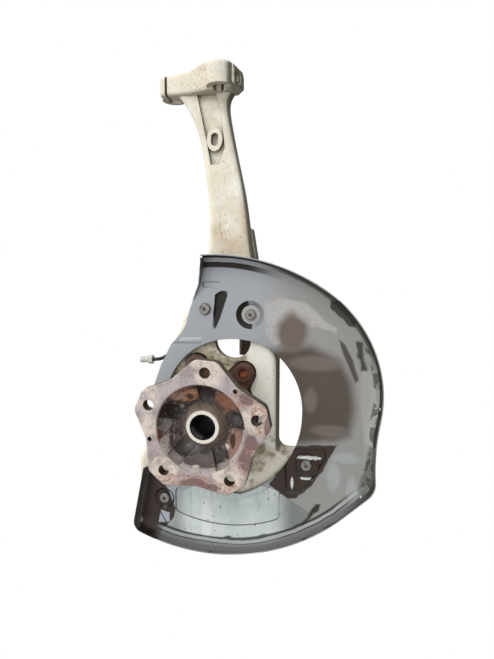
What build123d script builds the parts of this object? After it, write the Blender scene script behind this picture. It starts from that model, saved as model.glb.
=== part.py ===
"""Front steering knuckle with its wheel hub, bearing unit, brake dust shield and rigid brake pipe."""

import os
from math import cos, radians, sin

from build123d import *

os.makedirs("parts", exist_ok=True)

# The origin is the centre of the wheel flange face. -Y is outboard, +Z is up, and depths are y.

# Wheel flange and splined nose of the hub
WHEEL_BOLTS = 5
BOLT_CIRCLE_R = 65.0
BOLT_HOLE_R = 6.25
BOLT_TURN = 84.7
FLANGE_T = 13.5
LOBE_MARGIN = 14.5
LOBE_TIP_R = BOLT_CIRCLE_R + LOBE_MARGIN
LOBE_HALF_TURN = 9.0
LOBE_ROUND = 10.0
WAIST_R = 64.8
WAIST_ROUND = 30.0
DISC_SCREW_CIRCLE_R = 60.5
DISC_SCREW_R = 2.6
DISH_R = 51.8
DISH_LEDGE = 5.0
DISH_LEDGE_IN = 3.8
DISH_FLOOR = 23.5
NOSE_FACE = 10.5
NOSE_R = 18.8
NOSE_FOOT_R = 27.0
NOSE_BORE_R = 15.0
NOSE_COUNTERBORE = 3.0
SPLINE_TEETH = 33
SPLINE_DEPTH = 1.3
POCKET_IN_R = 26.0
POCKET_OUT_R = 50.3
POCKET_WIDE = 19.0
POCKET_ROUND = 5.0
POCKET_FLOOR = 25.0
POCKET_BELLY = (46.0, 17.0)
HUB_EDGE = 0.8
WEB_T = 5.5
WEB_BACK_R = 44.8
HUB_NECK_R = 33.6

# Wheel bearing
BALL_R = 6.35
BALLS_IN_ROW = 12
PITCH_R = 33.0
GROOVE_CLEAR = 0.05
OUTBOARD_ROW = 47.0
INBOARD_ROW = 83.0
INNER_LAND_STEP = 4.4
OUTER_LAND_STEP = 4.6
INNER_LAND_R = PITCH_R - INNER_LAND_STEP
OUTER_LAND_R = PITCH_R + OUTER_LAND_STEP
SPIGOT_R = 22.5
SPIGOT_SHOULDER = 62.0
INNER_RING_T = 37.0
RIM_R = 26.5
RIM_T = 5.5
OUTER_RING_FRONT = 35.0
OUTER_RING_FRONT_R = 44.5
PILOT_R = 46.0
PILOT_LENGTH = 27.0
EAR_FRONT = 60.0
EAR_T = 14.0
EAR_CIRCLE_R = 65.0
EAR_R = 13.0
EAR_PLATE_R = 53.0
EAR_ROOT_R = 24.0
EAR_BLEND = 7.0
EAR_RING_R = 10.5
EAR_RING_T = 1.5
EAR_TURNS = (54.7, 109.0, 234.7, 289.0)
EAR_BOLT_R = 6.0
EAR_BOLT_END = 62.0
BOLT_FLANGE_R = 11.5
BOLT_FLANGE_T = 2.0
BOLT_HEAD_T = 8.0
BOLT_ACROSS = 18.0
FIT = 0.05
CAGE_IN_R = 30.6
CAGE_OUT_R = 35.4
CAGE_HALF = 7.4
SEAL_GAP = 0.3
SEAL_T = 1.0
ENCODER_T = 0.9
SEAL_CASE_IN_R = 32.6
SEAL_LEG = 4.5
LIP_T = 1.8
LIP_REACH = 3.2

# Knuckle casting
SEAT = EAR_FRONT + EAR_T
CAST_FRONT = 66.0
CAST_BACK = 104.0
CARRIER_R = 62.0
EAR_POCKET_GAP = 2.0
CAST_ROUND = 7.0
WEB_HOLE = (23.8, 91.6)
WEB_HOLE_R = 22.0
RIB_T = 9.0
BACK_POCKET_DEPTH = 27.0
CLEARANCE_HOLE_R = 6.6
CALIPER_UPPER = (-26.0, 114.0)
CALIPER_LOWER = (-86.0, -85.0)
CALIPER_LUG_R = 14.5
CALIPER_HOLE_R = 6.25
JOINT_BOSS_R = 19.0
JOINT_BOSS_TOP = -112.0
JOINT_BOSS_BOTTOM = -146.0
JOINT_BORE_R = 8.0
JOINT_X = (-27.0, 49.0)
JOINT_DEPTH = 88.0
ARM_ROOT = (98.0, 90.0)
TIE_ROD = (126.0, 138.0)
TIE_ROD_TOP = -62.0
TIE_ROD_BOTTOM = -86.0
TIE_ROD_EYE_R = 15.0
TIE_ROD_BORE_R = 7.0

NECK_ROUND = 7.0
NECK_SECTIONS = (
    (120, -36, 62, 66, 104),
    (160, -18, 53, 66, 103),
    (196, -9, 45.5, 69, 101),
    (232, -6.5, 40.5, 72, 99),
    (265, -9, 36, 75, 97),
    (300, -14, 28.5, 80, 99),
    (335, -21.5, 20.5, 84, 104),
    (362, -32, 15, 87, 108),
    (390, -51, 20, 89, 112),
)
NECK_LEAN = 5.4
NECK_FACE_AT = (0.0, 85.5, 350.0)
CHANNEL_DEPTH = 5.0
CHANNEL_EDGE = ((-24.5, 37), (-1, 37), (6, 14), (11, -28), (5, -48), (-6, -48), (-11, -22))
OVAL_PAD = (-1.5, -18.0)
PAD_SIZE = (9.7, 14.0)
PAD_SLOT = (15.4, 8.6)
PAD_RISE = 0.8
LEG_EDGE = 76.5
ARM_TOP = -48.0
ARM_END = 125.0
CORNER_ROUND = 12.0
CAST_EDGE = (
    (-10, 176),
    (-28, 142),
    (-44, 104),
    (-61, 70),
    (-70, 36),
    (-79, -20),
    (-100, -63),
    (-100, -97),
    (-78, -124),
    (-40, -132),
    (62, -132),
    (98, -84),
    (ARM_END, -70),
    (ARM_END, ARM_TOP),
    (LEG_EDGE, ARM_TOP),
    (LEG_EDGE, 68),
    (61, 130),
    (48, 176),
)
BACK_RIBS = ((11, -90, 90, 90), (-60, -60, 120, 42), (72, -62, 120, -38))

# Clamp head on top of the neck, along the line of its pinch bolt
HEAD_AT = (27.0, 84.0, 402.0)
HEAD_YAW = 11.0
HEAD_LENGTH = 115.0
HEAD_CROWN = 18.0
HEAD_PROFILE = (
    (-100, -14),
    (-100, 9),
    (-60, 11),
    (-41, HEAD_CROWN),
    (-9, HEAD_CROWN),
    (-1.5, 11),
    (0, 4),
    (0, -9),
    (-7, -14),
    (-62, -16),
)
HEAD_CORNER = 2.5
HEAD_ROUND = 5.0
HEAD_FRONT = 12.0
HEAD_BACK = 19.0
STUD_BORE_R = 8.0
STUD_OFFSET = 10.0
STUD_RIGHT = 19.0
STUD_LEFT = 90.0
STUD_BOSS_R = 16.0
STUD_BOSS_TOP = 14.0
STUD_BOSS_BOTTOM = -12.0
STUD_BOSS_ROUND = 5.0
REAR_BOSS_R = 15.5
REAR_BOSS_TOP = 9.5
REAR_BOSS_BOTTOM = -13.5
SLOT_T = 3.2
PINCH_R = 5.25
PINCH_SPOT_R = 9.5
PINCH_SPOT_DEPTH = 1.2

# Dust shield and its screws
SHIELD_FRONT = 60.0
SHEET_T = 1.2
RIM_HEIGHT = 18.0
RIM_ROUND = 15.0
SHIELD_TOP_ARC = ((-40.0, 190.5), (60.0, 187.6), (139.5, 150.5))
SHIELD_SIDE = ((197.6, 6.0), (195.0, -76.0))
SHIELD_FOOT_ARC = ((152.0, -115.0), (43.0, -165.5), (-101.0, -145.0))
SHIELD_TAIL = ((-84.0, -62.0), (-165.0, 60.0))
SHIELD_CORNER_ROUNDS = (24.0, 14.0)
OPENING_TOP = ((-58.0, 32.0), (-32.0, 74.5), (2.9, 92.2), (34.0, 94.4), (61.5, 88.1))
OPENING_SIDE = ((92.0, 61.5), (108.3, 5.0), (91.0, -53.0), (33.6, -97.9))
HORN_EDGE = (
    (-9.6, 230),
    (-9.6, 186),
    (-13.5, 168),
    (-15, 160),
    (-24, 140.5),
    (-28, 130),
    (-33.5, 110),
    (-39, 101.5),
    (-53, 85.6),
    (-66, 60),
    (-75, 36),
    (-73, 15),
    (-62, 18),
)
TRIM_FOOT = ((4, -95), (-40, -88), (-92, -64), (-200, -64), (-200, 230))
HORN_TOP = 195.0
HORN_LIP = 18.0
SCREW_SPOTS = (
    (-9.1, 130.3, 0.0, 0.0),
    (45.7, 123.9, 17.0, 4.8),
    (113.8, -56.3, 15.0, 3.0),
    (-64.6, -111.3, 13.5, 2.5),
)
SCREW_R = 3.0
SCREW_HEAD_R = 6.5
SCREW_HEAD_T = 3.4
SCREW_LENGTH = 20.0
SCREW_BOSS_R = 9.0
SCREW_RECESS_R = 2.8
SCREW_RECESS_DEPTH = 2.0
SCREW_EDGE = 0.9
DISH_SLOPE = 50.0
PRESS_SLOPE = 25.0
PRESS_ROUND = 1.6
PRESSINGS = (
    (2.0, ((-12, 163.4), (8.6, 163.6), (11.5, 158.5), (5, 154.7), (-12, 155.8))),
    (3.5, ((3.6, 148), (12, 152.8), (20.6, 151), (8.8, 116), (4.4, 106.5), (-0.4, 108))),
    (1.4, ((-73, -127), (-68, -121), (-56, -141), (-62, -146))),
    (3.0, ((96, -36), (136, -34), (138, -44), (126, -66), (108, -92), (90, -92), (88, -60))),
)
PANEL_AT = (15.0, 27.0)
PANEL_R = 167.0
PANEL_IN_AT = (6.0, 1.0)
PANEL_IN_R = 108.0
PANEL_SPAN = (-50.0, 82.0)
PANEL_TOP = -70.0
PANEL_DEPTH = 1.5
PANEL_ROUND = 6.0

# Rigid brake pipe, its nuts and the bracket behind the neck
PIPE_R = 2.2
PIPE_FLARE_R = 2.9
PIPE_ROUTE = (
    (-97.5, 75, 64.0),
    (-71, 75, 65.0),
    (-66, 90, 69),
    (-62, 112, 79),
    (-42, 113, 92),
    (-10, 113, 101),
    (8, 117, 122),
    (28, 126, 128),
    (28, 126, 89),
)
PIPE_BENDS = (9, 9, 12, 12, 20, 20, 11)
NUT_ACROSS = 10.0
NUT_HEX = 5.5
NUT_BARREL_R = 4.0
NUT_BARREL = 11.0
NUT_GAP = 0.1
UNION_R = 8.0
UNION_AT = (28.0, 126.0)
UNION_TOP = 100.0
UNION_BOTTOM = 66.0
UNION_HEX_R = 9.2
UNION_HEX_T = 4.0
BRACKET_T = 2.5
BRACKET_WIDE = 24.0
TAB_Z = 90.0
PAD_BACK = 114.0
PAD_TOP = 228.0
PAD_BOTTOM = 150.0
BRACKET_BOLT_Z = 176.0
BRACKET_BOLT_R = 4.0
BRACKET_BOLT_LENGTH = 16.0
BRACKET_BOLT_FLANGE = (8.4, 1.4)
BRACKET_BOLT_HEX = (6.5, 5.0)
BRACKET_TOP = 190.0
TAB_END = 139.0
BRACKET_CORNER = 8.0
HOLE_GAP = 0.4

# How far a cut runs past the face it starts from
OVER = 2.0


head_line = Vector(cos(radians(HEAD_YAW)), -sin(radians(HEAD_YAW)), 0)
head_back = Vector(sin(radians(HEAD_YAW)), cos(radians(HEAD_YAW)), 0)
head_view = Plane(origin=HEAD_AT, x_dir=head_line, z_dir=-head_back)
head_plan = Plane(origin=HEAD_AT, x_dir=head_line, z_dir=(0, 0, 1))
head_end = Plane(origin=HEAD_AT, x_dir=head_back, z_dir=head_line)
neck_view = Plane(
    origin=NECK_FACE_AT,
    x_dir=(1, 0, 0),
    z_dir=(0, -cos(radians(NECK_LEAN)), sin(radians(NECK_LEAN))),
)


def at_depth(y):
    """Front view plane at depth y: local x is +X, local y is +Z, a negative extrude goes inboard."""
    return Plane.XZ.offset(-y)


def polar(radius, turn):
    return (radius * cos(radians(turn)), radius * sin(radians(turn)))


def save(builder, name):
    builder.part.label = name
    export_step(builder.part, f"parts/{name}.step")


# Pockets of the dished web: a deeper bowl, kept only in five radial slots
with BuildPart() as web_pockets:
    with BuildSketch(Plane.XY):
        with BuildLine():
            ThreePointArc((POCKET_OUT_R, DISH_LEDGE - 2), POCKET_BELLY, (POCKET_IN_R, POCKET_FLOOR))
            Polyline(
                (POCKET_IN_R, POCKET_FLOOR),
                (0, POCKET_FLOOR),
                (0, 1),
                (POCKET_OUT_R, 1),
                (POCKET_OUT_R, DISH_LEDGE - 2),
            )
        make_face()
    revolve(axis=Axis.Y)
    with BuildSketch(at_depth(0)):
        with PolarLocations((POCKET_IN_R + POCKET_OUT_R) / 2 + 1, WHEEL_BOLTS, start_angle=BOLT_TURN):
            RectangleRounded(POCKET_OUT_R - POCKET_IN_R + 2, POCKET_WIDE, POCKET_ROUND)
    extrude(amount=-POCKET_FLOOR, mode=Mode.INTERSECT)

# Wheel hub: star flange, dished web with five pockets, splined nose and bearing spigot
with BuildPart() as wheel_hub:
    with BuildSketch(at_depth(0)) as star:
        with BuildLine():
            corners = []
            for k in range(WHEEL_BOLTS):
                lobe = BOLT_TURN + 360 * k / WHEEL_BOLTS
                corners.append(polar(LOBE_TIP_R, lobe - LOBE_HALF_TURN))
                corners.append(polar(LOBE_TIP_R, lobe + LOBE_HALF_TURN))
                corners.append(polar(WAIST_R, lobe + 180 / WHEEL_BOLTS))
            Polyline(*corners, close=True)
        make_face()
        by_radius = star.vertices().sort_by(lambda v: v.center().length)
        fillet(by_radius[:WHEEL_BOLTS], WAIST_ROUND)
        outer = star.vertices().group_by(lambda v: round(v.center().length, 1))[-1]
        fillet(outer, LOBE_ROUND)
    extrude(amount=-FLANGE_T)
    chamfer(wheel_hub.edges().group_by(Axis.Y)[0], HUB_EDGE)
    with BuildSketch(Plane.XY):
        with BuildLine():
            Polyline(
                (0, FLANGE_T - OVER),
                (DISH_R + 1, FLANGE_T - OVER),
                (DISH_R + 1, FLANGE_T),
                (DISH_R - 2, DISH_FLOOR - 2),
                (WEB_BACK_R, DISH_FLOOR + WEB_T - 1),
                (OUTER_LAND_R - 1, DISH_FLOOR + WEB_T + 1),
                (HUB_NECK_R, OUTER_RING_FRONT - 2),
                (INNER_LAND_R + 1, OUTER_RING_FRONT),
                (INNER_LAND_R, OUTER_RING_FRONT + 1),
                (INNER_LAND_R, SPIGOT_SHOULDER),
                (SPIGOT_R, SPIGOT_SHOULDER),
                (SPIGOT_R, SPIGOT_SHOULDER + INNER_RING_T),
                (RIM_R, SPIGOT_SHOULDER + INNER_RING_T),
                (RIM_R, SPIGOT_SHOULDER + INNER_RING_T + RIM_T - 2),
                (RIM_R - 2, SPIGOT_SHOULDER + INNER_RING_T + RIM_T),
                (0, SPIGOT_SHOULDER + INNER_RING_T + RIM_T),
                close=True,
            )
        make_face()
        with Locations((PITCH_R, OUTBOARD_ROW)):
            Circle(BALL_R + GROOVE_CLEAR, mode=Mode.SUBTRACT)
    revolve(axis=Axis.Y)
    with BuildSketch(Plane.XY):
        with BuildLine():
            Polyline((NOSE_R, NOSE_FACE), (0, NOSE_FACE), (0, -OVER), (DISH_R, -OVER), (DISH_R, 0))
            Line((DISH_R, 0), (DISH_R - DISH_LEDGE_IN, DISH_LEDGE))
            ThreePointArc(
                (DISH_R - DISH_LEDGE_IN, DISH_LEDGE), (DISH_R - 12, DISH_FLOOR - 7), (NOSE_FOOT_R, DISH_FLOOR)
            )
            Line((NOSE_FOOT_R, DISH_FLOOR), (NOSE_R, NOSE_FACE))
        make_face()
    revolve(axis=Axis.Y, mode=Mode.SUBTRACT)
    add(web_pockets.part, mode=Mode.SUBTRACT)
    with BuildSketch(at_depth(0)):
        with PolarLocations(BOLT_CIRCLE_R, WHEEL_BOLTS, start_angle=BOLT_TURN):
            Circle(BOLT_HOLE_R)
        with PolarLocations(DISC_SCREW_CIRCLE_R, 2, BOLT_TURN - 36, 144, endpoint=True):
            Circle(DISC_SCREW_R)
    extrude(amount=-FLANGE_T, mode=Mode.SUBTRACT)
    with BuildSketch(at_depth(NOSE_FACE)):
        Circle(NOSE_BORE_R)
    extrude(amount=-NOSE_COUNTERBORE, mode=Mode.SUBTRACT)
    with BuildSketch(at_depth(NOSE_FACE + NOSE_COUNTERBORE)):
        Circle(NOSE_BORE_R - SPLINE_DEPTH)
        with PolarLocations(NOSE_BORE_R - SPLINE_DEPTH / 2, SPLINE_TEETH):
            Rectangle(SPLINE_DEPTH + 0.4, SPLINE_DEPTH)
    extrude(amount=-(SPIGOT_SHOULDER + INNER_RING_T + RIM_T), mode=Mode.SUBTRACT)
save(wheel_hub, "wheel_hub")


def race_groove(row):
    """Ball groove of one row, to be taken out of a ring's profile."""
    with Locations((PITCH_R, row)):
        Circle(BALL_R + GROOVE_CLEAR, mode=Mode.SUBTRACT)


def ear_plate_outline(grow=0.0):
    """Eared plate of the bearing: a round plate with four tapered bolt ears, blended into it."""
    with BuildSketch(mode=Mode.PRIVATE) as outline:
        Circle(EAR_PLATE_R + grow)
        for turn in EAR_TURNS:
            with BuildSketch(mode=Mode.ADD):
                Circle(EAR_ROOT_R + grow)
                with Locations(polar(EAR_CIRCLE_R, turn)):
                    Circle(EAR_R + grow)
                make_hull()
        joins = outline.vertices().filter_by(lambda v: abs(v.center().length - EAR_PLATE_R - grow) < 1)
        fillet(joins, EAR_BLEND - grow)
    return outline.sketch


# Bearing outer ring: pilot, eared plate and two ball grooves
with BuildPart() as bearing_outer_ring:
    with BuildSketch(at_depth(EAR_FRONT)):
        add(ear_plate_outline())
        with Locations(*(polar(EAR_CIRCLE_R, turn) for turn in EAR_TURNS)):
            Circle(EAR_BOLT_R + FIT, mode=Mode.SUBTRACT)
    extrude(amount=-EAR_T)
    with BuildSketch(at_depth(EAR_FRONT)):
        with Locations(*(polar(EAR_CIRCLE_R, turn) for turn in EAR_TURNS)):
            Circle(EAR_RING_R)
            Circle(EAR_BOLT_R + FIT, mode=Mode.SUBTRACT)
    extrude(amount=EAR_RING_T)
    with BuildSketch(Plane.XY):
        with BuildLine():
            Polyline(
                (OUTER_LAND_R - 2, OUTER_RING_FRONT),
                (OUTER_RING_FRONT_R, OUTER_RING_FRONT),
                (OUTER_RING_FRONT_R, EAR_FRONT - 3),
                (OUTER_RING_FRONT_R + 3, EAR_FRONT),
                (PILOT_R, SEAT),
                (PILOT_R, SEAT + PILOT_LENGTH - 1),
                (PILOT_R - 1, SEAT + PILOT_LENGTH),
                (OUTER_LAND_R - 2, SEAT + PILOT_LENGTH),
                close=True,
            )
        make_face()
    revolve(axis=Axis.Y)
    with BuildSketch(Plane.XY):
        with BuildLine():
            Polyline(
                (0, OUTER_RING_FRONT - 1),
                (OUTER_LAND_R, OUTER_RING_FRONT - 1),
                (OUTER_LAND_R, SEAT + PILOT_LENGTH + 1),
                (0, SEAT + PILOT_LENGTH + 1),
                close=True,
            )
        make_face()
        for row in (OUTBOARD_ROW, INBOARD_ROW):
            with Locations((PITCH_R, row)):
                Circle(BALL_R + GROOVE_CLEAR)
    revolve(axis=Axis.Y, mode=Mode.SUBTRACT)
save(bearing_outer_ring, "bearing_outer_ring")

# Bearing inner ring, held on the hub spigot by the rolled rim
with BuildPart() as bearing_inner_ring:
    with BuildSketch(Plane.XY):
        with Locations(((SPIGOT_R + FIT + INNER_LAND_R) / 2, SPIGOT_SHOULDER + INNER_RING_T / 2)):
            Rectangle(INNER_LAND_R - SPIGOT_R - FIT, INNER_RING_T)
        race_groove(INBOARD_ROW)
    revolve(axis=Axis.Y)
save(bearing_inner_ring, "bearing_inner_ring")


def ball_row(row):
    """Balls of one row."""
    with BuildPart() as balls:
        with Locations(at_depth(row)):
            with PolarLocations(PITCH_R, BALLS_IN_ROW):
                Sphere(BALL_R)
    return balls


def ball_cage(row):
    """Cage of one row: a moulded band with a round window for each ball."""
    with BuildPart() as cage:
        with BuildSketch(at_depth(row - CAGE_HALF)):
            Circle(CAGE_OUT_R)
            Circle(CAGE_IN_R, mode=Mode.SUBTRACT)
        extrude(amount=-2 * CAGE_HALF)
        for k in range(BALLS_IN_ROW):
            x, z = polar(PITCH_R, 360 * k / BALLS_IN_ROW)
            with Locations(Plane(origin=(x, row, z), z_dir=(x, 0, z))):
                Cylinder(BALL_R + FIT, 12, mode=Mode.SUBTRACT)
    return cage


for side, row in (("outboard", OUTBOARD_ROW), ("inboard", INBOARD_ROW)):
    save(ball_row(row), f"{side}_balls")
    save(ball_cage(row), f"{side}_cage")


def turned_ring(*profile):
    """Ring about the wheel axis from (radius, depth) corners."""
    with BuildPart() as ring:
        with BuildSketch(Plane.XY):
            with BuildLine():
                Polyline(*profile, close=True)
            make_face()
        revolve(axis=Axis.Y)
    return ring


# Outboard seal: a steel case pressed in the outer ring and a rubber lip running beside the hub
SEAL_FRONT = OUTER_RING_FRONT + 0.5
save(
    turned_ring(
        (OUTER_LAND_R, SEAL_FRONT),
        (OUTER_LAND_R, SEAL_FRONT + SEAL_LEG),
        (OUTER_LAND_R - SEAL_T, SEAL_FRONT + SEAL_LEG),
        (OUTER_LAND_R - SEAL_T, SEAL_FRONT + SEAL_T),
        (SEAL_CASE_IN_R, SEAL_FRONT + SEAL_T),
        (SEAL_CASE_IN_R, SEAL_FRONT),
    ),
    "outboard_seal_case",
)
save(
    turned_ring(
        (OUTER_LAND_R - SEAL_T, SEAL_FRONT + SEAL_T),
        (OUTER_LAND_R - SEAL_T, SEAL_FRONT + SEAL_T + LIP_T),
        (INNER_LAND_R + 3, SEAL_FRONT + SEAL_T + LIP_T),
        (INNER_LAND_R + SEAL_GAP, SEAL_FRONT + SEAL_T + LIP_REACH),
        (INNER_LAND_R + SEAL_GAP, SEAL_FRONT + LIP_REACH),
        (SEAL_CASE_IN_R, SEAL_FRONT + SEAL_T),
    ),
    "outboard_seal_lip",
)

# Inboard cassette seal: case and lip in the outer ring, slinger and magnetic ring on the inner ring
CASE_FRONT = SEAT + PILOT_LENGTH - 8.5
CASE_BACK = CASE_FRONT + SEAL_T
SLINGER_BACK = SPIGOT_SHOULDER + INNER_RING_T - 1.2
save(
    turned_ring(
        (OUTER_LAND_R, CASE_FRONT),
        (OUTER_LAND_R, CASE_FRONT + SEAL_LEG),
        (OUTER_LAND_R - SEAL_T, CASE_FRONT + SEAL_LEG),
        (OUTER_LAND_R - SEAL_T, CASE_BACK),
        (SEAL_CASE_IN_R, CASE_BACK),
        (SEAL_CASE_IN_R, CASE_FRONT),
    ),
    "inboard_seal_case",
)
save(
    turned_ring(
        (OUTER_LAND_R - SEAL_T, CASE_BACK),
        (OUTER_LAND_R - SEAL_T, CASE_BACK + 1.4),
        (INNER_LAND_R + SEAL_T + 2, CASE_BACK + 1.4),
        (INNER_LAND_R + SEAL_T + SEAL_GAP, CASE_BACK + 2.4),
        (INNER_LAND_R + SEAL_T + SEAL_GAP, CASE_BACK + 1.2),
        (SEAL_CASE_IN_R, CASE_BACK),
    ),
    "inboard_seal_lip",
)
save(
    turned_ring(
        (INNER_LAND_R + FIT, CASE_FRONT),
        (INNER_LAND_R + SEAL_T, CASE_FRONT),
        (INNER_LAND_R + SEAL_T, SLINGER_BACK - SEAL_T),
        (OUTER_LAND_R - 1.5, SLINGER_BACK - SEAL_T),
        (OUTER_LAND_R - 1.5, SLINGER_BACK),
        (INNER_LAND_R + FIT, SLINGER_BACK),
    ),
    "inboard_slinger",
)
save(
    turned_ring(
        (INNER_LAND_R + 2, SLINGER_BACK),
        (OUTER_LAND_R - 1.5, SLINGER_BACK),
        (OUTER_LAND_R - 1.5, SLINGER_BACK + ENCODER_T),
        (INNER_LAND_R + 2, SLINGER_BACK + ENCODER_T),
    ),
    "encoder_ring",
)

# Bearing bolts, from the back of the knuckle into the threaded ears
with BuildPart() as bearing_bolts:
    with BuildSketch(at_depth(EAR_BOLT_END)):
        with Locations(*(polar(EAR_CIRCLE_R, turn) for turn in EAR_TURNS)):
            Circle(EAR_BOLT_R)
    extrude(amount=-(CAST_BACK - EAR_BOLT_END))
    chamfer(bearing_bolts.edges().group_by(Axis.Y)[0], 1)
    with BuildSketch(at_depth(CAST_BACK)):
        with Locations(*(polar(EAR_CIRCLE_R, turn) for turn in EAR_TURNS)):
            Circle(BOLT_FLANGE_R)
    extrude(amount=-BOLT_FLANGE_T)
    with BuildSketch(at_depth(CAST_BACK + BOLT_FLANGE_T)):
        with Locations(*(polar(EAR_CIRCLE_R, turn) for turn in EAR_TURNS)):
            RegularPolygon(BOLT_ACROSS / 2, 6, major_radius=False)
    extrude(amount=-BOLT_HEAD_T)
save(bearing_bolts, "bearing_bolts")


def cast_outline():
    """Front view of the casting below the neck."""
    with BuildSketch(mode=Mode.PRIVATE) as outline:
        with BuildLine():
            Polyline(*CAST_EDGE, close=True)
        make_face()
        corners = outline.vertices().filter_by(lambda v: v.X > ARM_END - 5 or v.X < -99)
        crook = outline.vertices().sort_by_distance((LEG_EDGE, ARM_TOP))[0]
        fillet([*corners, crook], CORNER_ROUND)
    return outline.sketch


# Casting body: carrier, legs, arch and lugs, pocketed from the back between ribs
with BuildPart() as cast_body:
    with BuildSketch(at_depth(CAST_FRONT)):
        add(cast_outline())
        with Locations(CALIPER_UPPER, CALIPER_LOWER):
            Circle(CALIPER_LUG_R)
    extrude(amount=-(CAST_BACK - CAST_FRONT))
    fillet(cast_body.edges().group_by(Axis.Y)[0], CAST_ROUND)
    with BuildSketch(at_depth(CAST_BACK)):
        add(offset(cast_outline(), -RIB_T, kind=Kind.INTERSECTION))
        Circle(CARRIER_R, mode=Mode.SUBTRACT)
        with Locations(*(polar(EAR_CIRCLE_R, turn) for turn in EAR_TURNS)):
            Circle(BOLT_FLANGE_R + 3, mode=Mode.SUBTRACT)
        with Locations(CALIPER_UPPER, CALIPER_LOWER):
            Circle(CALIPER_LUG_R, mode=Mode.SUBTRACT)
        with Locations(*((x, z) for x, z, radius, depth in SCREW_SPOTS)):
            Circle(SCREW_BOSS_R, mode=Mode.SUBTRACT)
        for x, z, length, turn in BACK_RIBS:
            with Locations((x, z)):
                Rectangle(length, RIB_T, rotation=turn, mode=Mode.SUBTRACT)
    extrude(amount=BACK_POCKET_DEPTH, mode=Mode.SUBTRACT)

# Neck: a swan neck lofted through level sections, thicker at its foot
with BuildPart() as neck:
    for height, left, right, front, rear in NECK_SECTIONS:
        with BuildSketch(Plane.XY.offset(height)):
            with Locations(((left + right) / 2, (front + rear) / 2)):
                RectangleRounded(right - left, rear - front, NECK_ROUND)
    loft()

# Pad on the back of the neck's foot, where the brake-pipe bracket is bolted
with BuildPart() as rear_pad:
    for height, left, right in ((PAD_BOTTOM - 20, 12, 58), (PAD_TOP, 8, 42)):
        with BuildSketch(Plane.XY.offset(height)):
            with Locations(((left + right) / 2, PAD_BACK - 10)):
                RectangleRounded(right - left, 20, 3)
    loft()
    fillet(rear_pad.edges().group_by(Axis.Z)[-1], 2.5)

# Boss of the front stud, rounded over its top
with BuildPart() as stud_boss:
    with BuildSketch(head_plan.offset(STUD_BOSS_BOTTOM)):
        with Locations((-STUD_RIGHT, -STUD_OFFSET)):
            Circle(STUD_BOSS_R)
    extrude(amount=STUD_BOSS_TOP - STUD_BOSS_BOTTOM)
    fillet(stud_boss.edges().group_by(Axis.Z)[-1], STUD_BOSS_ROUND)

# Clamp head: a bar along the pinch bolt with a stud boss in front at one end and behind at the other
with BuildPart() as head:
    with BuildSketch(head_view.offset(HEAD_FRONT)) as bar:
        with BuildLine():
            Polyline(*HEAD_PROFILE, close=True)
        make_face()
        fillet(bar.vertices(), HEAD_CORNER)
    extrude(amount=-(HEAD_FRONT + HEAD_BACK))
    fillet(head.faces().sort_by(Axis.Y)[0].edges(), HEAD_ROUND)
    with BuildSketch(head_plan.offset(REAR_BOSS_BOTTOM)):
        with Locations((-STUD_LEFT, STUD_OFFSET)):
            Circle(REAR_BOSS_R)
    extrude(amount=REAR_BOSS_TOP - REAR_BOSS_BOTTOM)
    add(stud_boss.part)
    with BuildSketch(head_plan.offset(-30)):
        with Locations((-STUD_RIGHT, -STUD_OFFSET), (-STUD_LEFT, STUD_OFFSET)):
            Circle(STUD_BORE_R)
        with Locations((-STUD_LEFT, STUD_OFFSET - 20)):
            Rectangle(SLOT_T, 40)
        with Locations((-STUD_RIGHT, 20 - STUD_OFFSET)):
            Rectangle(SLOT_T, 40)
    extrude(amount=60, mode=Mode.SUBTRACT)
    with BuildSketch(head_end):
        Circle(PINCH_SPOT_R)
    extrude(amount=-PINCH_SPOT_DEPTH, mode=Mode.SUBTRACT)
    with BuildSketch(head_end):
        Circle(PINCH_R)
    extrude(amount=-HEAD_LENGTH, mode=Mode.SUBTRACT)

# Arms: two upright ball-joint bosses below the carrier and the steering arm behind it
with BuildPart() as arms:
    with BuildSketch(Plane.XY.offset(JOINT_BOSS_BOTTOM)):
        with Locations(*((x, JOINT_DEPTH) for x in JOINT_X)):
            Circle(JOINT_BOSS_R)
    extrude(amount=JOINT_BOSS_TOP - JOINT_BOSS_BOTTOM)
    chamfer(arms.edges().group_by(Axis.Z)[0], 2)
    with BuildSketch(Plane.XY.offset(TIE_ROD_BOTTOM)):
        with Locations(ARM_ROOT):
            Circle(TIE_ROD_EYE_R)
        with Locations(TIE_ROD):
            Circle(TIE_ROD_EYE_R)
        make_hull()
    extrude(amount=TIE_ROD_TOP - TIE_ROD_BOTTOM)
    fillet(arms.edges().group_by(Axis.Z)[-1], 3)

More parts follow.
